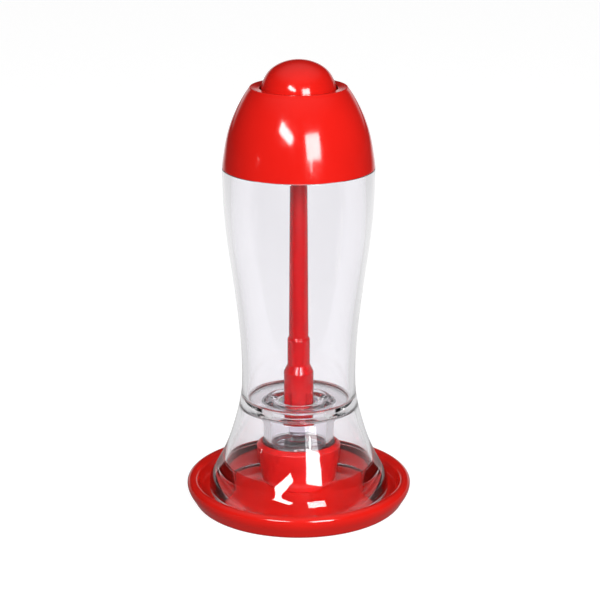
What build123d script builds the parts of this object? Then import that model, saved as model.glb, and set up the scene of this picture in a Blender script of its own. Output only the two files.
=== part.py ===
"""Push-button measuring dispenser, standing in its saucer.

A waisted clear reservoir holds a powder. Its partition and the nozzle in its outlet tube form a
measuring chamber. A sprung rod, moved by the button in the cap, fills the chamber at rest through
the flutes of its plug, and shuts the partition and opens the nozzle when pressed.
+Z is up, and the origin is at the middle of the surface that the saucer stands on. Millimetres.
"""

import os

from build123d import *

os.makedirs("parts", exist_ok=True)

# Saucer
saucer_radius = 42.95
saucer_height = 9.4
roll_radius = 2.2
foot_inner_radius = 35.9
foot_radius = 39.3
foot_gap = 0.3
groove_inner_radius = 36.9
groove_outer_radius = 38.3
groove_top = 1.2
floor_top = 3.6
floor_wall = 1.8
boss_radius = 10.5
boss_top = floor_top + 1.0

# Closing cup in the middle of the saucer
cup_foot_radius = 13.8
cup_rim_radius = 15.85
cup_rim_outer_top = 23.1
cup_rim_top = 24.7
cup_mouth_radius = 13.9
cup_floor_radius = 12.2
cup_floor_top = boss_top + 1.2

# Reservoir body, from the skirt's foot to the neck
skirt_foot_radius = 34.4
skirt_foot_height = 7.4
skirt_crease_radius = 27.5
skirt_crease_height = 17.4
skirt_mouth_radius = 28.8
waist_radius = 21.5
waist_height = 54.0
body_radius = 28.25
body_top = 131.2
neck_radius = 26.0
neck_bead_radius = 26.3
neck_bore_radius = 24.9
neck_top = 136.5
partition_bottom = 38.3
partition_top = 41.5
funnel_rim_radius = 11.1
throat_ring_radius = 7.6
throat_ring_top = 40.1
throat_radius = 6.0
tube_radius = 13.2
tube_bore_radius = 10.2
tube_end = 22.0
ring_groove_radius = 12.5
ring_groove_bottom = 23.6
ring_groove_top = 25.4
soft_ring_radius = 13.6

# Nozzle in the end of the outlet tube
nozzle_bottom = 20.5
nozzle_bore_radius = 6.0
nozzle_floor_top = 22.3
nozzle_spigot_top = 25.2
nozzle_spigot_wall = 1.4

# Plunger rod and dose valve
button_travel = 8.0
rod_radius = 3.2
rod_foot_radius = 3.7
rod_top = 163.5
taper_top = 130.0
taper_bottom = 66.0
collar_radius = 4.25
collar_top = 65.0
collar_bottom = 55.0
plug_radius = 5.65
plug_top = 52.0
plug_bottom = 33.0
throat_overlap = 1.8
flute_top = partition_bottom + button_travel - throat_overlap
flute_radius = 1.7
flute_count = 4
spigot_radius = 2.0
spigot_top = 39.0
valve_head_radius = 3.6
valve_head_bottom = 28.2
valve_stem_radius = 2.3
valve_plug_radius = 5.6
valve_plug_top = 24.4
valve_cone_top = 26.6
valve_bottom = 20.0
valve_ring_radius = 5.92
valve_ring_seat_radius = 4.9
valve_ring_bottom = 20.9
valve_ring_top = 22.1

# Dome cap
cap_bottom = body_top + 0.15
cap_bore_radius = 26.4
cap_bore_top = 136.9
liner_radius = 25.6
land_radius = 17.9
land_height = 161.2
opening_radius = 14.4
lip_bottom = 158.6
guide_bore_radius = 15.6
guide_radius = 17.2
guide_bottom = 146.0
guide_root = 156.5

# Cap liner, its seal and its wiper
seal_thickness = 0.8
liner_bottom = neck_top + seal_thickness
liner_wall = 1.6
liner_plug_radius = 24.6
liner_plug_bottom = 132.6
tower_radius = 12.0
spring_seat = 146.5
rod_hole_radius = 3.9
wiper_radius = 5.2
wiper_bottom = 143.2
wiper_bore_radius = 3.28

# Push button, its spring and its pin
button_top = 171.0
button_radius = 13.7
button_flank_bottom = 160.6
button_flange_radius = 15.3
button_flange_top = 158.4
button_bottom = 156.8
button_wall = 1.7
button_boss_radius = 5.4
button_boss_bottom = 155.2
spring_plate_radius = 8.8
spring_plate_bottom = 161.0
spring_plate_top = 162.4
spring_radius = 7.0
spring_wire_radius = 0.45
spring_turns = 5.5
pin_radius = 0.8
pin_height = 158.4
pin_half_length = 5.2


def circles(part, radius, height):
    """The circular edges of a part that have this radius at this height."""
    return [
        edge
        for edge in part.edges().filter_by(GeomType.CIRCLE)
        if abs(edge.radius - radius) < 0.01 and abs(edge.arc_center.Z - height) < 0.01
    ]


def write(part, name):
    """Label a finished piece and write it as its own STEP file."""
    part.label = name
    export_step(part, f"parts/{name}.step")


# Red dish: hollow underneath, with a rolled rim and a low boss that carries the closing cup.
with BuildPart() as saucer:
    with BuildSketch(Plane.XZ):
        with BuildLine():
            roll_centre = saucer_radius - roll_radius
            roll_height = saucer_height - roll_radius
            inner_rim = roll_centre - roll_radius
            Spline(
                (foot_radius, foot_gap),
                (40.9, 2.4),
                (42.4, 5.0),
                (saucer_radius, roll_height),
                tangents=[(1, 0.6), (0, 1)],
            )
            ThreePointArc(
                (saucer_radius, roll_height),
                (roll_centre, saucer_height),
                (inner_rim, roll_height),
            )
            Polyline(
                (inner_rim, roll_height),
                (inner_rim - 0.6, floor_top),
                (boss_radius, floor_top),
                (boss_radius, boss_top),
                (0, boss_top),
                (0, floor_top - floor_wall),
                (foot_inner_radius - 0.4, floor_top - floor_wall),
                (foot_inner_radius, foot_gap),
                (groove_inner_radius, foot_gap),
                (groove_inner_radius, groove_top),
                (groove_outer_radius, groove_top),
                (groove_outer_radius, foot_gap),
                (foot_radius, foot_gap),
            )
        make_face()
    revolve(axis=Axis.Z)
    fillet(circles(saucer, inner_rim - 0.6, floor_top), 1.2)
write(saucer.part, "saucer")

# Soft ring in the saucer's foot, which stands on the table.
with BuildPart() as nonslip_ring:
    with BuildSketch():
        Circle(groove_outer_radius)
        Circle(groove_inner_radius, mode=Mode.SUBTRACT)
    extrude(amount=groove_top)
    fillet(nonslip_ring.edges().group_by(Axis.Z)[0], 0.25)
write(nonslip_ring.part, "nonslip_ring")

# Tapered cup, pressed over the saucer's boss. The outlet dips into it.
with BuildPart() as closing_cup:
    with BuildSketch(Plane.XZ):
        with BuildLine():
            Polyline(
                (boss_radius, floor_top),
                (cup_foot_radius, floor_top),
                (cup_rim_radius, cup_rim_outer_top),
                (cup_mouth_radius, cup_rim_top),
                (cup_mouth_radius - 0.2, 19.5),
                (cup_floor_radius, cup_floor_top),
                (0, cup_floor_top),
                (0, boss_top),
                (boss_radius, boss_top),
                (boss_radius, floor_top),
            )
        make_face()
    revolve(axis=Axis.Z)
    fillet(circles(closing_cup, cup_rim_radius, cup_rim_outer_top), 0.5)
    fillet(circles(closing_cup, cup_mouth_radius, cup_rim_top), 0.3)
    fillet(circles(closing_cup, cup_floor_radius, cup_floor_top), 1.2)
write(closing_cup.part, "closing_cup")

# Clear body: thick-footed skirt, partition with its funnel hole, outlet tube, waisted reservoir, neck.
with BuildPart() as reservoir_body:
    with BuildSketch(Plane.XZ):
        with BuildLine():
            Spline(
                (skirt_foot_radius, skirt_foot_height),
                (33.95, 10.0),
                (33.05, 12.0),
                (31.85, 14.0),
                (28.6, 20.0),
                (24.4, 32.0),
                (21.85, 44.0),
                (waist_radius, waist_height),
                (22.45, 70.0),
                (24.3, 86.0),
                (26.5, 102.0),
                (27.95, 118.0),
                (body_radius, body_top),
                tangents=[(0, 1), (0, 1)],
            )
            Polyline(
                (body_radius, body_top),
                (neck_radius, body_top),
                (neck_radius, 133.0),
                (neck_bead_radius, 133.4),
                (neck_bead_radius, 134.2),
                (neck_radius, 134.6),
                (neck_radius, neck_top),
                (neck_bore_radius, neck_top),
                (neck_bore_radius, 122.0),
            )
            Spline(
                (neck_bore_radius, 122.0),
                (24.1, 102.0),
                (22.1, 86.0),
                (20.2, 70.0),
                (19.2, waist_height),
                (19.45, partition_top + 3.0),
                tangents=[(0, -1), (0.1, -1)],
            )
            Polyline(
                (19.45, partition_top + 3.0),
                (19.6, partition_top),
                (funnel_rim_radius, partition_top),
                (throat_ring_radius + 0.4, throat_ring_top),
                (throat_ring_radius, throat_ring_top),
                (throat_ring_radius, partition_bottom),
                (tube_bore_radius, partition_bottom),
                (tube_bore_radius, tube_end),
                (tube_radius, tube_end),
                (tube_radius, ring_groove_bottom),
                (ring_groove_radius, ring_groove_bottom),
                (ring_groove_radius, ring_groove_top),
                (tube_radius, ring_groove_top),
                (tube_radius, partition_bottom),
                (20.0, partition_bottom),
            )
            Spline(
                (20.0, partition_bottom),
                (22.2, 31.0),
                (24.6, 24.5),
                (skirt_crease_radius, skirt_crease_height),
            )
            Polyline(
                (skirt_crease_radius, skirt_crease_height),
                (skirt_mouth_radius, floor_top),
                (skirt_foot_radius, floor_top),
                (skirt_foot_radius, skirt_foot_height),
            )
        make_face()
    revolve(axis=Axis.Z)
    fillet(circles(reservoir_body, skirt_foot_radius, floor_top), 2.4)
    fillet(circles(reservoir_body, skirt_mouth_radius, floor_top), 0.5)
    fillet(circles(reservoir_body, 19.6, partition_top), 2.6)
    fillet(circles(reservoir_body, 20.0, partition_bottom), 2.0)
    fillet(circles(reservoir_body, tube_radius, partition_bottom), 1.5)
    fillet(circles(reservoir_body, funnel_rim_radius, partition_top), 0.8)
    fillet(circles(reservoir_body, body_radius, body_top), 0.4)
write(reservoir_body.part, "reservoir_body")

# Soft ring in the partition's hole. The plunger's plug slides through it.
with BuildPart() as throat_ring:
    with BuildSketch(Plane.XY.offset(partition_bottom)):
        Circle(throat_ring_radius)
        Circle(throat_radius, mode=Mode.SUBTRACT)
    extrude(amount=throat_ring_top - partition_bottom)
    chamfer(circles(throat_ring, throat_radius, throat_ring_top), 0.6)
write(throat_ring.part, "throat_ring")

# Soft ring round the outlet tube, just inside the closing cup's mouth.
with BuildPart() as nozzle_ring:
    with BuildSketch(Plane.XY.offset(ring_groove_bottom)):
        Circle(soft_ring_radius)
        Circle(ring_groove_radius, mode=Mode.SUBTRACT)
    extrude(amount=ring_groove_top - ring_groove_bottom)
    fillet(circles(nozzle_ring, soft_ring_radius, ring_groove_bottom), 0.35)
    fillet(circles(nozzle_ring, soft_ring_radius, ring_groove_top), 0.35)
write(nozzle_ring.part, "nozzle_ring")

# Nozzle: the measuring chamber's sloping floor, with a spigot pressed into the outlet tube.
with BuildPart() as dose_nozzle:
    with BuildSketch(Plane.XZ):
        with BuildLine():
            Polyline(
                (nozzle_bore_radius, nozzle_bottom),
                (tube_radius, nozzle_bottom),
                (tube_radius, tube_end),
                (tube_bore_radius, tube_end),
                (tube_bore_radius, nozzle_spigot_top),
                (tube_bore_radius - nozzle_spigot_wall, nozzle_spigot_top),
                (tube_bore_radius - nozzle_spigot_wall, nozzle_floor_top + 1.5),
                (nozzle_bore_radius, nozzle_floor_top),
                (nozzle_bore_radius, nozzle_bottom),
            )
        make_face()
    revolve(axis=Axis.Z)
    fillet(circles(dose_nozzle, tube_radius, nozzle_bottom), 0.4)
write(dose_nozzle.part, "dose_nozzle")

# Red rod: a long taper, a collar, a cone and the metering plug with its flutes.
with BuildPart() as plunger_rod:
    with BuildSketch(Plane.XZ):
        with BuildLine():
            Polyline(
                (0, rod_top),
                (rod_radius, rod_top),
                (rod_radius, taper_top),
                (rod_foot_radius, taper_bottom),
                (collar_radius, collar_top),
                (collar_radius, collar_bottom),
                (plug_radius, plug_top),
                (plug_radius, plug_bottom),
                (spigot_radius, plug_bottom),
                (spigot_radius, spigot_top),
                (0, spigot_top),
                (0, rod_top),
            )
        make_face()
    revolve(axis=Axis.Z)
    fillet(circles(plunger_rod, plug_radius, plug_top), 1.2)
    fillet(circles(plunger_rod, plug_radius, plug_bottom), 0.6)
    with BuildSketch(Plane.XY.offset(plug_bottom)):
        with PolarLocations(plug_radius + 0.4, flute_count, start_angle=45):
            Circle(flute_radius)
    extrude(amount=flute_top - plug_bottom, mode=Mode.SUBTRACT)
    with BuildSketch(Plane.YZ.offset(-pin_half_length)):
        with Locations((0, pin_height)):
            Circle(pin_radius)
    extrude(amount=2 * pin_half_length, mode=Mode.SUBTRACT)
write(plunger_rod.part, "plunger_rod")

# Pale valve: a spigot in the rod's foot, a head, a thin stem and the plug that shuts the nozzle.
with BuildPart() as dose_valve:
    with BuildSketch(Plane.XZ):
        with BuildLine():
            Polyline(
                (0, spigot_top),
                (spigot_radius, spigot_top),
                (spigot_radius, plug_bottom),
                (valve_head_radius, plug_bottom),
                (valve_head_radius, valve_head_bottom),
                (valve_stem_radius, valve_head_bottom),
                (valve_stem_radius, valve_cone_top),
                (valve_plug_radius, valve_plug_top),
                (valve_plug_radius, valve_ring_top),
                (valve_ring_seat_radius, valve_ring_top),
                (valve_ring_seat_radius, valve_ring_bottom),
                (valve_plug_radius, valve_ring_bottom),
                (valve_plug_radius, valve_bottom),
                (0, valve_bottom),
                (0, spigot_top),
            )
        make_face()
    revolve(axis=Axis.Z)
    fillet(circles(dose_valve, valve_head_radius, valve_head_bottom), 1.1)
    fillet(circles(dose_valve, valve_plug_radius, valve_bottom), 0.5)
write(dose_valve.part, "dose_valve")

# Soft ring on the valve's plug, a running fit in the nozzle.
with BuildPart() as valve_ring:
    with BuildSketch(Plane.XY.offset(valve_ring_bottom)):
        Circle(valve_ring_radius)
        Circle(valve_ring_seat_radius, mode=Mode.SUBTRACT)
    extrude(amount=valve_ring_top - valve_ring_bottom)
    fillet(circles(valve_ring, valve_ring_radius, valve_ring_bottom), 0.3)
    fillet(circles(valve_ring, valve_ring_radius, valve_ring_top), 0.3)
write(valve_ring.part, "valve_ring")

# Red cap: a dome that narrows to a flat land, with the button's opening and guide tube.
with BuildPart() as dome_cap:
    with BuildSketch(Plane.XZ):
        with BuildLine():
            Spline(
                (body_radius, cap_bottom),
                (27.55, 136.5),
                (26.2, 143.5),
                (23.6, 151.0),
                (land_radius, land_height),
                tangents=[(-0.11, 1), (-1, 1.35)],
            )
            Polyline(
                (land_radius, land_height),
                (opening_radius, land_height - 0.4),
                (opening_radius, lip_bottom),
                (guide_bore_radius, lip_bottom),
                (guide_bore_radius, guide_bottom),
                (guide_radius, guide_bottom),
                (guide_radius, guide_root),
                (18.6, guide_root),
            )
            Spline(
                (18.6, guide_root),
                (21.7, 151.0),
                (24.3, 143.5),
                (liner_radius, liner_bottom + liner_wall),
            )
            Polyline(
                (liner_radius, liner_bottom + liner_wall),
                (liner_radius, cap_bore_top),
                (cap_bore_radius, cap_bore_top),
                (cap_bore_radius, cap_bottom),
                (body_radius, cap_bottom),
            )
        make_face()
    revolve(axis=Axis.Z)
    fillet(circles(dome_cap, land_radius, land_height), 0.9)
    fillet(circles(dome_cap, opening_radius, land_height - 0.4), 0.35)
    fillet(circles(dome_cap, body_radius, cap_bottom), 0.3)
write(dome_cap.part, "dome_cap")

# Inner lid: shuts the reservoir, carries the spring on a tower and guides the rod.
with BuildPart() as cap_liner:
    with BuildSketch(Plane.XZ):
        with BuildLine():
            Polyline(
                (liner_radius, liner_bottom),
                (liner_radius, liner_bottom + liner_wall),
                (tower_radius, liner_bottom + liner_wall),
                (tower_radius, spring_seat),
                (rod_hole_radius, spring_seat),
                (rod_hole_radius, wiper_bottom + liner_wall),
                (wiper_radius, wiper_bottom + liner_wall),
                (wiper_radius, wiper_bottom),
                (wiper_radius + liner_wall, wiper_bottom),
                (wiper_radius + liner_wall, spring_seat - liner_wall),
                (tower_radius - liner_wall, spring_seat - liner_wall),
                (tower_radius - liner_wall, liner_bottom),
                (liner_plug_radius - liner_wall, liner_bottom),
                (liner_plug_radius - liner_wall, liner_plug_bottom),
                (liner_plug_radius, liner_plug_bottom),
                (liner_plug_radius, liner_bottom),
                (liner_radius, liner_bottom),
            )
        make_face()
    revolve(axis=Axis.Z)
write(cap_liner.part, "cap_liner")

# Flat soft ring between the liner and the top of the neck.
with BuildPart() as neck_seal:
    with BuildSketch(Plane.XY.offset(neck_top)):
        Circle(liner_radius)
        Circle(liner_plug_radius, mode=Mode.SUBTRACT)
    extrude(amount=seal_thickness)
write(neck_seal.part, "neck_seal")

# Soft ring that wipes powder off the rod, a running fit on it.
with BuildPart() as rod_wiper:
    with BuildSketch(Plane.XY.offset(wiper_bottom)):
        Circle(wiper_radius)
        Circle(wiper_bore_radius, mode=Mode.SUBTRACT)
    extrude(amount=liner_wall)
write(rod_wiper.part, "rod_wiper")

# Red button: a domed shell with a flange that the cap's lip holds, and a boss on the rod.
with BuildPart() as push_button:
    with BuildSketch(Plane.XZ):
        with BuildLine():
            Spline(
                (0, button_top),
                (5.6, button_top - 0.95),
                (11.15, 166.4),
                (13.2, 162.6),
                (button_radius, button_flank_bottom),
                tangents=[(1, 0), (0.12, -1)],
            )
            Polyline(
                (button_radius, button_flank_bottom),
                (button_radius, button_flange_top),
                (button_flange_radius, button_flange_top),
                (button_flange_radius, button_bottom),
                (button_radius - button_wall, button_bottom),
                (button_radius - button_wall, 160.4),
            )
            Spline(
                (button_radius - button_wall, 160.4),
                (10.0, 165.2),
                (button_boss_radius, button_top - 2.7),
            )
            Polyline(
                (button_boss_radius, button_top - 2.7),
                (button_boss_radius, spring_plate_top),
                (spring_plate_radius, spring_plate_top),
                (spring_plate_radius, spring_plate_bottom),
                (button_boss_radius, spring_plate_bottom),
                (button_boss_radius, button_boss_bottom),
                (rod_radius, button_boss_bottom),
                (rod_radius, rod_top),
                (0, rod_top),
                (0, button_top),
            )
        make_face()
    revolve(axis=Axis.Z)
    with BuildSketch(Plane.YZ.offset(-pin_half_length)):
        with Locations((0, pin_height)):
            Circle(pin_radius)
    extrude(amount=2 * pin_half_length, mode=Mode.SUBTRACT)
write(push_button.part, "push_button")

# Cross pin that holds the rod in the button's boss.
with BuildPart() as button_pin:
    with BuildSketch(Plane.YZ.offset(-pin_half_length)):
        with Locations((0, pin_height)):
            Circle(pin_radius)
    extrude(amount=2 * pin_half_length)
write(button_pin.part, "button_pin")

# Coil spring between the liner's tower and the plate on the button's boss.
with BuildPart() as return_spring:
    with BuildLine():
        spring_height = spring_plate_bottom - spring_seat - 2 * spring_wire_radius
        coil = Helix(
            pitch=spring_height / spring_turns,
            height=spring_height,
            radius=spring_radius,
            center=(0, 0, spring_seat + spring_wire_radius),
        )
    with BuildSketch(Plane(origin=coil @ 0, z_dir=coil % 0)):
        Circle(spring_wire_radius)
    sweep(is_frenet=True)
write(return_spring.part, "return_spring")
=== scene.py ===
"""Looks of a push-button measuring dispenser in its saucer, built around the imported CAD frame.

Round pieces are lathed finely from outlines of (radius, height) in millimetres, in the frame's axes.
"""

import math

import bmesh
import bpy
import numpy as np
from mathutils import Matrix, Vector


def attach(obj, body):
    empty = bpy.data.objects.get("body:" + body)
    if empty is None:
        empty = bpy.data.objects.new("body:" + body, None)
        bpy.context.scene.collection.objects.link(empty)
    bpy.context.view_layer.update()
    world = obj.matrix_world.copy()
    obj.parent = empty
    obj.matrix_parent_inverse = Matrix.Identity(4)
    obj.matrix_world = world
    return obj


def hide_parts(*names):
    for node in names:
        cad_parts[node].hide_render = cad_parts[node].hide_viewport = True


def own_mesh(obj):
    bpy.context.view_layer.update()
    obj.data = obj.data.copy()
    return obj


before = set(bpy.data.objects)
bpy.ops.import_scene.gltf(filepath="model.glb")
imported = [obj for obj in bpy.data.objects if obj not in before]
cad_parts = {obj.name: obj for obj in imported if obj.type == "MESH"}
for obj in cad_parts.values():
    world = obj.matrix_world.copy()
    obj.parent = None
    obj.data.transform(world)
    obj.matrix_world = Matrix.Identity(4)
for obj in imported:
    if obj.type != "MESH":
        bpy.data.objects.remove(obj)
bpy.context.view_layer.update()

MM = 0.001
FLOOR_IN_PLASTIC = 0.78
FLOOR_TO_MATT = 0.34
TURN_STEPS = 256
CORNER_STEPS = 7
SHARP_ANGLE = math.radians(38)


# ---------------------------------------------------------------- outlines


def smooth(points, steps=10, start=None, end=None):
    """A cubic spline through the points, free at its ends or with the directions given there."""
    at = np.array(points, dtype=float)
    spans = np.linalg.norm(np.diff(at, axis=0), axis=1)
    chords = np.diff(at, axis=0) / spans[:, None]
    last = len(at) - 1
    rows = np.zeros((last + 1, last + 1))
    sides = np.zeros((last + 1, 2))
    for i in range(1, last):
        before, after = 1 / spans[i - 1], 1 / spans[i]
        rows[i, i - 1 : i + 2] = (before, 2 * (before + after), after)
        sides[i] = 3 * (chords[i - 1] * before + chords[i] * after)
    for i, beside, chord, given in ((0, 1, chords[0], start), (last, last - 1, chords[-1], end)):
        if given is None:
            rows[i, i], rows[i, beside] = 2, 1
            sides[i] = 3 * chord
        else:
            rows[i, i] = 1
            sides[i] = np.array(given) / np.linalg.norm(given)
    slopes = np.linalg.solve(rows, sides)
    run = [points[0]]
    for i, span in enumerate(spans):
        for t in (k / steps for k in range(1, steps + 1)):
            from_first = (1 + 2 * t) * (1 - t) ** 2 * at[i] + t * (1 - t) ** 2 * span * slopes[i]
            from_next = t**2 * (3 - 2 * t) * at[i + 1] - t**2 * (1 - t) * span * slopes[i + 1]
            run.append(tuple((from_first + from_next).tolist()))
    return run


def arc(centre, radius, start, end, steps=24):
    """A round stretch from one angle to another, in degrees, about a centre."""
    angles = [math.radians(start + (end - start) * k / steps) for k in range(steps + 1)]
    return [(centre[0] + radius * math.cos(a), centre[1] + radius * math.sin(a)) for a in angles]


def rounded(before, corner, after, radius):
    """The arc that rounds a corner between its two neighbours in an outline."""
    to_a = Vector(before) - Vector(corner)
    to_b = Vector(after) - Vector(corner)
    half = to_a.angle(to_b) / 2
    reach = min(radius / math.tan(half), to_a.length * 0.49, to_b.length * 0.49)
    first = Vector(corner) + to_a.normalized() * reach
    last = Vector(corner) + to_b.normalized() * reach
    run = []
    for k in range(CORNER_STEPS + 1):
        t = k / CORNER_STEPS
        run.append(tuple((1 - t) ** 2 * first + 2 * t * (1 - t) * Vector(corner) + t**2 * last))
    return run


def outline(*runs):
    """Joins runs into a closed outline. A run is a list of points, or one (radius, height, rounding)."""
    flat = []
    for run in runs:
        flat.extend([run] if isinstance(run, tuple) else run)
    closed = []
    for i, point in enumerate(flat):
        if len(point) == 3 and point[2] > 0:
            before = flat[i - 1][:2]
            after = flat[(i + 1) % len(flat)][:2]
            closed.extend(rounded(before, point[:2], after, point[2]))
        else:
            closed.append(tuple(point[:2]))
    tidy = [p for i, p in enumerate(closed) if math.dist(p, closed[i - 1]) > 1e-4]
    return tidy


def lathe(name, points, radius_at=None):
    """A closed solid of revolution about Z. radius_at(radius, height, angle) may vary the radius."""
    vertices, rings = [], []
    for radius, height in points:
        if radius < 1e-6:
            rings.append([len(vertices)] * TURN_STEPS)
            vertices.append((0.0, 0.0, height * MM))
            continue
        rings.append(list(range(len(vertices), len(vertices) + TURN_STEPS)))
        for k in range(TURN_STEPS):
            angle = 2 * math.pi * k / TURN_STEPS
            r = radius if radius_at is None else radius_at(radius, height, angle)
            vertices.append((r * MM * math.cos(angle), r * MM * math.sin(angle), height * MM))
    faces = []
    for lower, upper in zip(rings, rings[1:] + rings[:1]):
        for k in range(TURN_STEPS):
            n = (k + 1) % TURN_STEPS
            face = list(dict.fromkeys([lower[k], lower[n], upper[n], upper[k]]))
            if len(face) > 2:
                faces.append(face)
    mesh = bpy.data.meshes.new(name)
    mesh.from_pydata(vertices, [], faces)
    area = sum(a[0] * b[1] - b[0] * a[1] for a, b in zip(points, points[1:] + points[:1]))
    if area < 0:
        mesh.flip_normals()
    mesh.shade_smooth()
    mesh.set_sharp_from_angle(angle=SHARP_ANGLE)
    piece = bpy.data.objects.new(name, mesh)
    bpy.context.scene.collection.objects.link(piece)
    return piece


# ---------------------------------------------------------------- materials


class Look:
    """A node material with one Principled shader and small helpers to drive it."""

    def __init__(self, name):
        self.material = bpy.data.materials.new(name)
        self.material.use_nodes = True
        self.tree = self.material.node_tree
        self.shader = self.tree.nodes["Principled BSDF"]
        self.place = self.node("ShaderNodeTexCoord").outputs["Object"]

    def node(self, kind, **settings):
        made = self.tree.nodes.new(kind)
        for key, value in settings.items():
            setattr(made, key, value)
        return made

    def link(self, source, target):
        self.tree.links.new(source, target)

    def set(self, **values):
        for key, value in values.items():
            self.shader.inputs[key.replace("_", " ")].default_value = value

    def noise(self, scale, detail=3.0, stretch=(1, 1, 1), roughness=0.5):
        mapping = self.node("ShaderNodeMapping")
        mapping.inputs["Scale"].default_value = stretch
        self.link(self.place, mapping.inputs["Vector"])
        texture = self.node("ShaderNodeTexNoise")
        texture.inputs["Scale"].default_value = scale
        texture.inputs["Detail"].default_value = detail
        texture.inputs["Roughness"].default_value = roughness
        self.link(mapping.outputs["Vector"], texture.inputs["Vector"])
        return texture.outputs["Fac"]

    def ramp(self, source, *stops):
        ramp = self.node("ShaderNodeValToRGB")
        elements = ramp.color_ramp.elements
        while len(elements) < len(stops):
            elements.new(0.5)
        for element, (position, colour) in zip(elements, stops):
            element.position = position
            element.color = (*colour, 1) if isinstance(colour, tuple) else (colour, colour, colour, 1)
        self.link(source, ramp.inputs["Fac"])
        return ramp.outputs["Color"]

    def remap(self, source, low, high, from_low=0.3, from_high=0.7):
        remap = self.node("ShaderNodeMapRange")
        remap.inputs["From Min"].default_value = from_low
        remap.inputs["From Max"].default_value = from_high
        remap.inputs["To Min"].default_value = low
        remap.inputs["To Max"].default_value = high
        self.link(source, remap.inputs["Value"])
        return remap.outputs["Result"]

    def times(self, a, b, **settings):
        product = self.node("ShaderNodeMath", operation="MULTIPLY", **settings)
        self.link(a, product.inputs[0])
        self.link(b, product.inputs[1])
        return product.outputs["Value"]

    def between(self, share, source, value):
        """Goes from a source at share 0 to a fixed value at share 1."""
        mix = self.node("ShaderNodeMix")
        mix.inputs["B"].default_value = value
        self.link(share, mix.inputs["Factor"])
        self.link(source, mix.inputs["A"])
        return mix.outputs["Result"]

    def bump(self, *layers):
        """Stacks (height source, strength, distance in metres) into the shader's normal."""
        normal = None
        for source, strength, distance in layers:
            bump = self.node("ShaderNodeBump")
            bump.inputs["Strength"].default_value = strength
            bump.inputs["Distance"].default_value = distance
            self.link(source, bump.inputs["Height"])
            if normal is not None:
                self.link(normal, bump.inputs["Normal"])
            normal = bump.outputs["Normal"]
        self.link(normal, self.shader.inputs["Normal"])

    def lamps_pass(self):
        """Lets lamp light through clear plastic, as a thin clear wall does."""
        path = self.node("ShaderNodeLightPath")
        clear = self.node("ShaderNodeBsdfTransparent")
        clear.inputs["Color"].default_value = (0.60, 0.595, 0.61, 1)
        mix = self.node("ShaderNodeMixShader")
        self.link(path.outputs["Is Shadow Ray"], mix.inputs["Fac"])
        self.link(self.shader.outputs["BSDF"], mix.inputs[1])
        self.link(clear.outputs["BSDF"], mix.inputs[2])
        self.link(mix.outputs["Shader"], self.tree.nodes["Material Output"].inputs["Surface"])


def red_plastic(name, deep, bright, roughness=0.07, grain=0.0):
    """Polished moulded red: colour drifts slightly, with faint flow ripples and fine rub marks."""
    look = Look(name)
    drift = look.noise(38, detail=4)
    look.link(look.ramp(drift, (0.3, deep), (0.7, bright)), look.shader.inputs["Base Color"])
    rubs = look.noise(900, detail=5, stretch=(1, 1, 0.06), roughness=0.7)
    look.link(look.remap(rubs, roughness, roughness + 0.09), look.shader.inputs["Roughness"])
    ripple = look.noise(95, detail=1)
    pits = look.noise(2600, detail=2)
    look.bump((ripple, 0.06, 0.0004), (pits, 0.02 + grain, 0.00006))
    look.set(IOR=1.5)
    return look.material


def clear_plastic(name, tint, roughness=0.015):
    """Clear moulded plastic: faintly cool, with shallow flow waves and hairline rub marks."""
    look = Look(name)
    rubs = look.noise(700, detail=5, stretch=(1, 1, 0.05), roughness=0.7)
    look.link(look.remap(rubs, roughness, roughness + 0.03), look.shader.inputs["Roughness"])
    cast = look.noise(22, detail=2)
    pale = tuple(c * 0.985 for c in tint)
    look.link(look.ramp(cast, (0.35, pale), (0.65, tint)), look.shader.inputs["Base Color"])
    waves = look.noise(60, detail=1, stretch=(1, 1, 0.5))
    look.bump((waves, 0.05, 0.0004))
    look.set(IOR=1.5, Transmission_Weight=1.0)
    look.lamps_pass()
    return look.material


def soft_rubber(name, low, high):
    """Matt soft ring: powdery bloom over a fine grain."""
    look = Look(name)
    bloom = look.noise(260, detail=5)
    look.link(look.ramp(bloom, (0.35, low), (0.65, high)), look.shader.inputs["Base Color"])
    look.link(look.remap(bloom, 0.42, 0.62), look.shader.inputs["Roughness"])
    grain = look.noise(3200, detail=3)
    look.bump((grain, 0.25, 0.00008))
    look.set(IOR=1.42)
    return look.material


def natural_plastic(name, low, high, through=0.0):
    """Unpigmented milky plastic with a satin skin."""
    look = Look(name)
    cloud = look.noise(120, detail=4)
    look.link(look.ramp(cloud, (0.3, low), (0.7, high)), look.shader.inputs["Base Color"])
    look.link(look.remap(cloud, 0.24, 0.38), look.shader.inputs["Roughness"])
    skin = look.noise(1800, detail=3)
    look.bump((skin, 0.12, 0.00006))
    look.set(IOR=1.5, Subsurface_Weight=0.3, Subsurface_Scale=0.003, Transmission_Weight=through)
    return look.material


def spring_steel(name):
    """Drawn wire: bright, with fine lines along the draw."""
    look = Look(name)
    lines = look.noise(1500, detail=4, stretch=(1, 1, 0.2))
    look.link(
        look.ramp(lines, (0.3, (0.38, 0.38, 0.40)), (0.7, (0.62, 0.62, 0.64))),
        look.shader.inputs["Base Color"],
    )
    look.link(look.remap(lines, 0.22, 0.4), look.shader.inputs["Roughness"])
    look.bump((lines, 0.15, 0.00004))
    look.set(Metallic=1.0)
    return look.material


def bounced(look):
    """1 once light has bounced off something, 0 where it is seen straight or through clear plastic."""
    path = look.node("ShaderNodeLightPath")
    bounces = look.node("ShaderNodeMath", operation="ADD", use_clamp=True)
    look.link(path.outputs["Glossy Depth"], bounces.inputs[0])
    look.link(path.outputs["Diffuse Depth"], bounces.inputs[1])
    return bounces.outputs["Value"]


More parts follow.
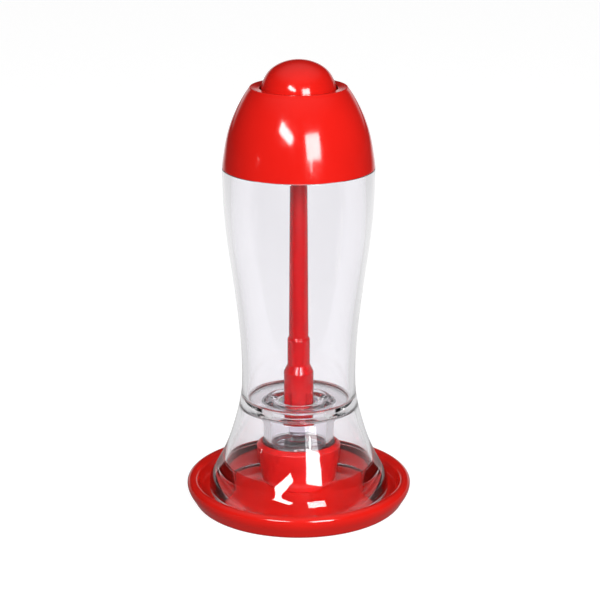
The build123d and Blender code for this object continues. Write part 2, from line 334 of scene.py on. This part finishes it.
def pale_floor(name):
    """Plain pale sweep: white to look at, and dim to its sides in reflections, as in a dark studio."""
    look = Look(name)
    tooth = look.noise(140, detail=3)
    look.link(look.ramp(tooth, (0.3, 0.27), (0.7, 0.30)), look.shader.inputs["Base Color"])
    look.link(look.remap(tooth, 0.55, 0.65), look.shader.inputs["Roughness"])
    look.bump((tooth, 0.03, 0.0004))
    look.set(Specular_IOR_Level=0.1, Emission_Color=(1, 1, 1, 1), Emission_Strength=0.88)
    axes = look.node("ShaderNodeSeparateXYZ")
    look.link(look.place, axes.inputs["Vector"])
    path = look.node("ShaderNodeLightPath")
    aside = look.node("ShaderNodeMath", operation="ABSOLUTE")
    look.link(axes.outputs["X"], aside.inputs[0])
    across = look.remap(aside.outputs["Value"], 1.0, 0.04, 0.25, 0.6)
    along = look.remap(axes.outputs["Y"], 0.0, 1.0, -0.6, 0.4)
    along = look.ramp(along, (0.0, 0.36), (0.3, 0.14), (0.54, 0.08), (0.66, 0.3), (0.8, 1.0))
    dim = look.times(across, along)
    beside = look.remap(axes.outputs["Y"], 0.0, 1.0, -0.12, 0.02)
    again = look.node("ShaderNodeMath", operation="SUBTRACT", use_clamp=True)
    again.inputs[1].default_value = 1.0
    look.link(path.outputs["Glossy Depth"], again.inputs[0])
    either = look.node("ShaderNodeMath", operation="MAXIMUM")
    look.link(beside, either.inputs[0])
    look.link(again.outputs["Value"], either.inputs[1])
    through = look.times(path.outputs["Transmission Depth"], either.outputs["Value"], use_clamp=True)
    seen = look.between(through, dim, FLOOR_IN_PLASTIC)
    seen = look.between(path.outputs["Is Diffuse Ray"], seen, FLOOR_TO_MATT)
    mirrored = look.node("ShaderNodeEmission")
    look.link(seen, mirrored.inputs["Color"])
    mix = look.node("ShaderNodeMixShader")
    look.link(bounced(look), mix.inputs["Fac"])
    look.link(look.shader.outputs["BSDF"], mix.inputs[1])
    look.link(mirrored.outputs["Emission"], mix.inputs[2])
    look.link(mix.outputs["Shader"], look.tree.nodes["Material Output"].inputs["Surface"])
    return look.material


# ---------------------------------------------------------------- pieces


def put(piece, body, node, material):
    """Rides a body in place of its CAD node, in a slot's finish."""
    piece.data.materials.append(material)
    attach(piece, body)
    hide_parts(node)
    return piece


RED = red_plastic("red_gloss", (0.58, 0.0095, 0.006), (0.64, 0.011, 0.007))
# The rod is the same red plastic as red_gloss. Its darker base colour is painted shade for the dimmer
# light it gets inside the clear body. Its higher roughness is its own satin finish.
RED_ROD_SHADED = red_plastic("red_rod", (0.43, 0.004, 0.006), (0.49, 0.006, 0.008), roughness=0.12)
RED_CUP = red_plastic("red_grained", (0.52, 0.005, 0.004), (0.66, 0.012, 0.010), roughness=0.3, grain=0.35)
CLEAR = clear_plastic("clear_plastic", (0.960, 0.952, 0.975))
SEAL = soft_rubber("soft_ring", (0.20, 0.23, 0.18), (0.30, 0.33, 0.27))
SEAL_CLEAR = natural_plastic("soft_clear", (0.80, 0.80, 0.82), (0.88, 0.88, 0.89), through=0.55)
NATURAL = natural_plastic("natural_plastic", (0.66, 0.64, 0.68), (0.76, 0.74, 0.77))
VALVE = clear_plastic("valve_plastic", (0.93, 0.89, 0.95), roughness=0.10)
SEAL_THIN = clear_plastic("soft_thin", (0.90, 0.91, 0.88), roughness=0.16)
STEEL = spring_steel("spring_steel")

SAUCER_RADIUS = 42.95
SAUCER_TOP = 9.4
FLOOR = 3.6
ROLL = 2.2
ROLL_CENTRE = SAUCER_RADIUS - ROLL
saucer = lathe(
    "saucer_dish",
    outline(
        smooth([(39.3, 0.3), (40.9, 2.4), (42.4, 5.0), (SAUCER_RADIUS, 7.2)], start=(1, 0.6), end=(0, 1)),
        arc((ROLL_CENTRE, SAUCER_TOP - ROLL), ROLL, 0, 180),
        (ROLL_CENTRE - ROLL - 0.6, FLOOR, 1.2),
        (10.5, FLOOR, 0.1),
        (10.5, FLOOR + 1.0, 0.1),
        (0, FLOOR + 1.0, 0),
        (0, FLOOR - 1.8, 0),
        (35.5, FLOOR - 1.8, 0.4),
        (35.9, 0.3, 0.15),
        (36.9, 0.3, 0),
        (36.9, 1.2, 0),
        (38.3, 1.2, 0),
        (38.3, 0.3, 0),
    ),
)
put(saucer, "base", "saucer", RED)

cup = lathe(
    "closing_cup_shell",
    outline(
        (10.5, FLOOR, 0.1),
        (13.8, FLOOR, 0.3),
        (15.85, 23.1, 0.5),
        (13.9, 24.7, 0.3),
        (13.7, 19.5, 0.5),
        (12.2, FLOOR + 2.2, 1.2),
        (0, FLOOR + 2.2, 0),
        (0, FLOOR + 1.0, 0),
        (10.5, FLOOR + 1.0, 0.1),
    ),
)
put(cup, "base", "closing_cup", RED_CUP)

body = lathe(
    "reservoir_body_clear",
    outline(
        (34.4, FLOOR, 2.4),
        smooth(
            [
                (34.4, 7.4),
                (33.95, 10.0),
                (33.05, 12.0),
                (31.85, 14.0),
                (28.6, 20.0),
                (24.4, 32.0),
                (21.85, 44.0),
                (21.5, 54.0),
                (22.45, 70.0),
                (24.3, 86.0),
                (26.5, 102.0),
                (27.95, 118.0),
                (28.25, 130.8),
            ],
            start=(0, 1),
            end=(0, 1),
        ),
        (28.25, 131.2, 0.35),
        (26.0, 131.2, 0.1),
        (26.0, 133.0, 0.2),
        (26.3, 133.4, 0.2),
        (26.3, 134.2, 0.2),
        (26.0, 134.6, 0.2),
        (26.0, 136.5, 0.25),
        (24.9, 136.5, 0.25),
        smooth(
            [(24.9, 122.0), (24.1, 102.0), (22.1, 86.0), (20.2, 70.0), (19.2, 54.0), (19.45, 44.5)],
            start=(0, -1),
            end=(0.1, -1),
        ),
        (19.6, 41.5, 2.6),
        (11.1, 41.5, 0.8),
        (8.0, 40.1, 0.2),
        (7.6, 40.1, 0.1),
        (7.6, 38.3, 0.1),
        (10.2, 38.3, 0.3),
        (10.2, 22.0, 0.2),
        (13.2, 22.0, 0.2),
        (13.2, 23.6, 0.1),
        (12.5, 23.6, 0.1),
        (12.5, 25.4, 0.1),
        (13.2, 25.4, 0.1),
        (13.2, 38.3, 1.5),
        (20.0, 38.3, 2.0),
        smooth([(22.2, 31.0), (24.6, 24.5), (27.9, 16.4)]),
        (27.9, FLOOR, 0.5),
    ),
)
put(body, "dispenser", "reservoir_body", CLEAR)

ring = lathe(
    "nozzle_ring_soft",
    outline((13.6, 23.6, 0.35), (13.6, 25.4, 0.35), (12.52, 25.4, 0.1), (12.52, 23.6, 0.1)),
)
put(ring, "dispenser", "nozzle_ring", SEAL_THIN)

throat = lathe(
    "throat_ring_soft",
    outline((6.0, 38.3, 0.3), (6.0, 39.5, 0.1), (6.6, 40.1, 0.1), (7.58, 40.1, 0.1), (7.58, 38.3, 0.1)),
)
put(throat, "dispenser", "throat_ring", SEAL_CLEAR)

nozzle = lathe(
    "dose_nozzle_clear",
    outline(
        (6.0, 20.5, 0.1),
        (13.2, 20.5, 0.4),
        (13.2, 21.98, 0.2),
        (10.18, 21.98, 0.1),
        (10.18, 25.2, 0.2),
        (8.8, 25.2, 0.2),
        (8.8, 23.8, 0.2),
        (6.0, 22.3, 0.2),
    ),
)
put(nozzle, "dispenser", "dose_nozzle", CLEAR)

PLUG_RADIUS = 5.65
FLUTE_TOP = 44.5
FLUTE_RADIUS = 1.7
FLUTE_CENTRE = PLUG_RADIUS + 0.4
FLUTES = 4


def fluted(radius, height, angle):
    """The rod's radius: its plug has round flutes below their top."""
    if height > FLUTE_TOP - 0.01 or radius < FLUTE_CENTRE - FLUTE_RADIUS:
        return radius
    pitch = 2 * math.pi / FLUTES
    off = (angle % pitch) - pitch / 2
    across = FLUTE_CENTRE * math.sin(off)
    if abs(across) >= FLUTE_RADIUS:
        return radius
    return min(radius, FLUTE_CENTRE * math.cos(off) - math.sqrt(FLUTE_RADIUS**2 - across**2))


rod = lathe(
    "plunger_rod_red",
    outline(
        (0, 163.5, 0),
        (3.2, 163.5, 0.2),
        (3.2, 130.0, 0.5),
        (3.7, 66.0, 0.3),
        (4.25, 65.0, 0.4),
        (4.25, 55.0, 0.8),
        (PLUG_RADIUS, 52.0, 1.2),
        (PLUG_RADIUS, FLUTE_TOP, 0),
        (PLUG_RADIUS, FLUTE_TOP - 0.15, 0),
        (PLUG_RADIUS, 39.0, 0),
        (PLUG_RADIUS, 33.0, 0.5),
        (2.02, 33.0, 0.1),
        (2.02, 39.0, 0),
        (0, 39.0, 0),
    ),
    radius_at=fluted,
)
put(rod, "plunger", "plunger_rod", RED_ROD_SHADED)

valve = lathe(
    "dose_valve_pale",
    outline(
        (0, 38.9, 0),
        (1.98, 38.9, 0.2),
        (1.98, 32.95, 0.05),
        (3.6, 32.95, 0.1),
        (3.6, 28.2, 1.1),
        (2.3, 28.2, 0.2),
        (2.3, 26.6, 0.6),
        (5.6, 24.4, 0.3),
        (5.6, 22.1, 0.1),
        (4.9, 22.1, 0.05),
        (4.9, 20.9, 0.05),
        (5.6, 20.9, 0.1),
        (5.6, 20.0, 0.4),
        (0, 20.0, 0),
    ),
)
put(valve, "plunger", "dose_valve", VALVE)

cap = lathe(
    "dome_cap_red",
    outline(
        (28.25, 131.35, 0.3),
        smooth(
            [(28.2, 131.8), (27.55, 136.5), (26.2, 143.5), (23.6, 151.0), (18.2, 160.6)],
            start=(-0.11, 1),
            end=(-1, 1.35),
        ),
        (17.9, 161.2, 2.2),
        (14.4, 160.8, 0.35),
        (14.4, 158.6, 0.1),
        (15.6, 158.6, 0.1),
        (15.6, 146.0, 0.2),
        (17.2, 146.0, 0.2),
        (17.2, 156.5, 0.3),
        smooth([(18.6, 156.5), (21.7, 151.0), (24.3, 143.5), (25.6, 138.9)]),
        (25.6, 136.9, 0.1),
        (26.4, 136.9, 0.1),
        (26.4, 131.35, 0.3),
    ),
)
put(cap, "cap", "dome_cap", RED)

button = lathe(
    "push_button_red",
    outline(
        (0, 171.0, 0),
        smooth(
            [(0.4, 170.99), (5.6, 170.05), (11.15, 166.4), (13.2, 162.6), (13.7, 160.6)],
            steps=16,
            start=(1, -0.02),
            end=(0.12, -1),
        ),
        (13.7, 158.4, 0.2),
        (15.3, 158.4, 0.3),
        (15.3, 156.8, 0.3),
        (12.0, 156.8, 0.3),
        smooth([(12.0, 160.4), (10.0, 165.2), (5.4, 168.3)]),
        (5.4, 162.4, 0.2),
        (8.8, 162.4, 0.2),
        (8.8, 161.0, 0.2),
        (5.4, 161.0, 0.2),
        (5.4, 155.2, 0.3),
        (3.22, 155.2, 0.1),
        (3.22, 163.52, 0),
        (0, 163.52, 0),
    ),
)
put(button, "plunger", "push_button", RED)

SPRING_SEAT = 146.5
SPRING_REST = 14.5
SPRING_RADIUS = 7.0
SPRING_WIRE = 0.45
SPRING_TURNS = 5.5
SPRING_PLAY = 0.02


def coil(name, radius, wire, turns, low, high, around=12, steps=48):
    """A closed helix of round wire between two heights."""
    rise = high - low - 2 * wire
    rings = int(turns * steps)
    vertices = []
    for k in range(rings + 1):
        turn = 2 * math.pi * turns * k / rings
        middle = low + wire + rise * k / rings
        for j in range(around):
            angle = 2 * math.pi * j / around
            out = radius + wire * math.cos(angle)
            up = middle + wire * math.sin(angle)
            vertices.append((out * MM * math.cos(turn), out * MM * math.sin(turn), up * MM))
    faces = [list(range(around)), [rings * around + j for j in reversed(range(around))]]
    for k in range(rings):
        for j in range(around):
            n = (j + 1) % around
            first, second = k * around, (k + 1) * around
            faces.append([first + j, second + j, second + n, first + n])
    mesh = bpy.data.meshes.new(name)
    mesh.from_pydata(vertices, [], faces)
    work = bmesh.new()
    work.from_mesh(mesh)
    bmesh.ops.recalc_face_normals(work, faces=work.faces)
    work.to_mesh(mesh)
    work.free()
    mesh.shade_smooth()
    mesh.set_sharp_from_angle(angle=SHARP_ANGLE)
    piece = bpy.data.objects.new(name, mesh)
    bpy.context.scene.collection.objects.link(piece)
    return piece


spring = coil(
    "return_spring_coil",
    SPRING_RADIUS,
    SPRING_WIRE,
    SPRING_TURNS,
    SPRING_SEAT + SPRING_PLAY,
    SPRING_SEAT + SPRING_REST - SPRING_PLAY,
)
put(spring, "cap", "return_spring", STEEL)
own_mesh(spring)

for node, material in (
    ("nonslip_ring", SEAL),
    ("cap_liner", NATURAL),
    ("neck_seal", SEAL),
    ("rod_wiper", SEAL),
    ("valve_ring", SEAL),
    ("button_pin", STEEL),
):
    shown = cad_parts[node]
    shown.data.materials.clear()
    shown.data.materials.append(material)


# ---------------------------------------------------------------- stage


def plane(name, size, height):
    """A square that faces up."""
    half = size / 2
    mesh = bpy.data.meshes.new(name)
    mesh.from_pydata(
        [(-half, -half, height), (half, -half, height), (half, half, height), (-half, half, height)],
        [],
        [(0, 1, 2, 3)],
    )
    made = bpy.data.objects.new(name, mesh)
    bpy.context.scene.collection.objects.link(made)
    return made


floor = plane("floor", 14.0, -0.0001)
floor.data.materials.append(pale_floor("floor_pale"))


def softbox(name, azimuth, elevation, width, height, radiance, roll=0.0, distance=1.5, aim=0.14):
    """A soft rectangular lamp, placed by its direction from a point on the object's axis."""
    a, e = math.radians(azimuth), math.radians(elevation)
    back = Vector((math.sin(a) * math.cos(e), -math.cos(a) * math.cos(e), math.sin(e)))
    lamp = bpy.data.lights.new(name, "AREA")
    lamp.shape = "RECTANGLE"
    lamp.size = width
    lamp.size_y = height
    lamp.energy = radiance * 4 * width * height
    made = bpy.data.objects.new(name, lamp)
    made.location = Vector((0, 0, aim)) + back * distance
    made.rotation_euler = back.to_track_quat("Z", "Y").to_euler()
    made.rotation_euler.rotate_axis("Z", math.radians(roll))
    bpy.context.scene.collection.objects.link(made)
    return made


softbox("key_right", 23.5, 18, 0.58, 0.57, 17)
softbox("key_stand", 19, 5.6, 0.07, 0.10, 14)
softbox("strip_left", -22, 28.5, 0.62, 0.22, 22, roll=-26)
softbox("small_left", -64, 4, 0.03, 0.03, 14)

world = bpy.data.worlds.new("studio")
world.use_nodes = True
bpy.context.scene.world = world
nodes = world.node_tree.nodes
links = world.node_tree.links
place = nodes.new("ShaderNodeTexCoord")
parts = nodes.new("ShaderNodeSeparateXYZ")
links.new(place.outputs["Generated"], parts.inputs["Vector"])


def sky_step(source, low, high, at_low, at_high):
    """A smooth step of the world's brightness along one axis of its direction."""
    step = nodes.new("ShaderNodeMapRange")
    step.interpolation_type = "SMOOTHSTEP"
    step.inputs["From Min"].default_value = low
    step.inputs["From Max"].default_value = high
    step.inputs["To Min"].default_value = at_low
    step.inputs["To Max"].default_value = at_high
    links.new(source, step.inputs["Value"])
    return step.outputs["Result"]


def sky_math(operation, *values, clamp=False):
    """A math node over sockets and plain numbers."""
    made = nodes.new("ShaderNodeMath")
    made.operation = operation
    made.use_clamp = clamp
    for value, target in zip(values, made.inputs):
        if isinstance(value, float):
            target.default_value = value
        else:
            links.new(value, target)
    return made.outputs["Value"]


def sky_mix(share, a, b):
    """Goes from a to b; each is a socket or a plain number."""
    made = nodes.new("ShaderNodeMix")
    for value, name in ((share, "Factor"), (a, "A"), (b, "B")):
        if isinstance(value, float):
            made.inputs[name].default_value = value
        else:
            links.new(value, made.inputs[name])
    return made.outputs["Result"]


# What bounced light sees: a pale strip low behind the object, and a faint glow overhead.
behind = sky_step(parts.outputs["Y"], 0.75, 0.95, 0.0, 1.0)
low = sky_step(parts.outputs["Z"], 0.04, 0.22, 0.95, 0.0)
above = sky_step(parts.outputs["Z"], 0.5, 1.0, 0.02, 0.42)
sky = sky_math("MULTIPLY_ADD", behind, low, above)

# Light that has passed through clear plastic and bounced sees a paler room, low beside and behind.
IN_PLASTIC = 0.72
path = nodes.new("ShaderNodeLightPath")
beside = sky_step(parts.outputs["Y"], -0.45, 0.15, 0.0, 1.0)
level = sky_step(parts.outputs["Z"], 0.16, 0.34, 1.0, 0.0)
around = sky_math("MULTIPLY", beside, level)
again = sky_math("SUBTRACT", path.outputs["Glossy Depth"], 1.0, clamp=True)
either = sky_math("MAXIMUM", around, again)
through = sky_math("MULTIPLY", path.outputs["Transmission Depth"], either, clamp=True)
veiled = sky_mix(through, sky, IN_PLASTIC)

# Seen straight on, the background is an even near-white.
SEEN_STRAIGHT = 0.97
bounces = sky_math("ADD", path.outputs["Glossy Depth"], path.outputs["Diffuse Depth"], clamp=True)
studio = sky_mix(bounces, SEEN_STRAIGHT, veiled)
links.new(studio, nodes["Background"].inputs["Color"])

CAMERA_DISTANCE = 0.700
CAMERA_HEIGHT = 0.2962
CAMERA_DOWN = 17.17
LENS = 117.0
SENSOR = 36.0
camera_data = bpy.data.cameras.new("camera")
camera_data.sensor_width = SENSOR
camera_data.lens = LENS
camera_data.clip_start = 0.01
camera_data.clip_end = 50
camera = bpy.data.objects.new("camera", camera_data)
camera.location = (0.0005, -CAMERA_DISTANCE, CAMERA_HEIGHT)
camera.rotation_euler = (math.radians(90 - CAMERA_DOWN), 0, 0)
bpy.context.scene.collection.objects.link(camera)
bpy.context.scene.camera = camera

scene = bpy.context.scene
scene.view_settings.view_transform = "Standard"
scene.cycles.max_bounces = 28
scene.cycles.transmission_bounces = 24
scene.cycles.glossy_bounces = 10
scene.cycles.diffuse_bounces = 4
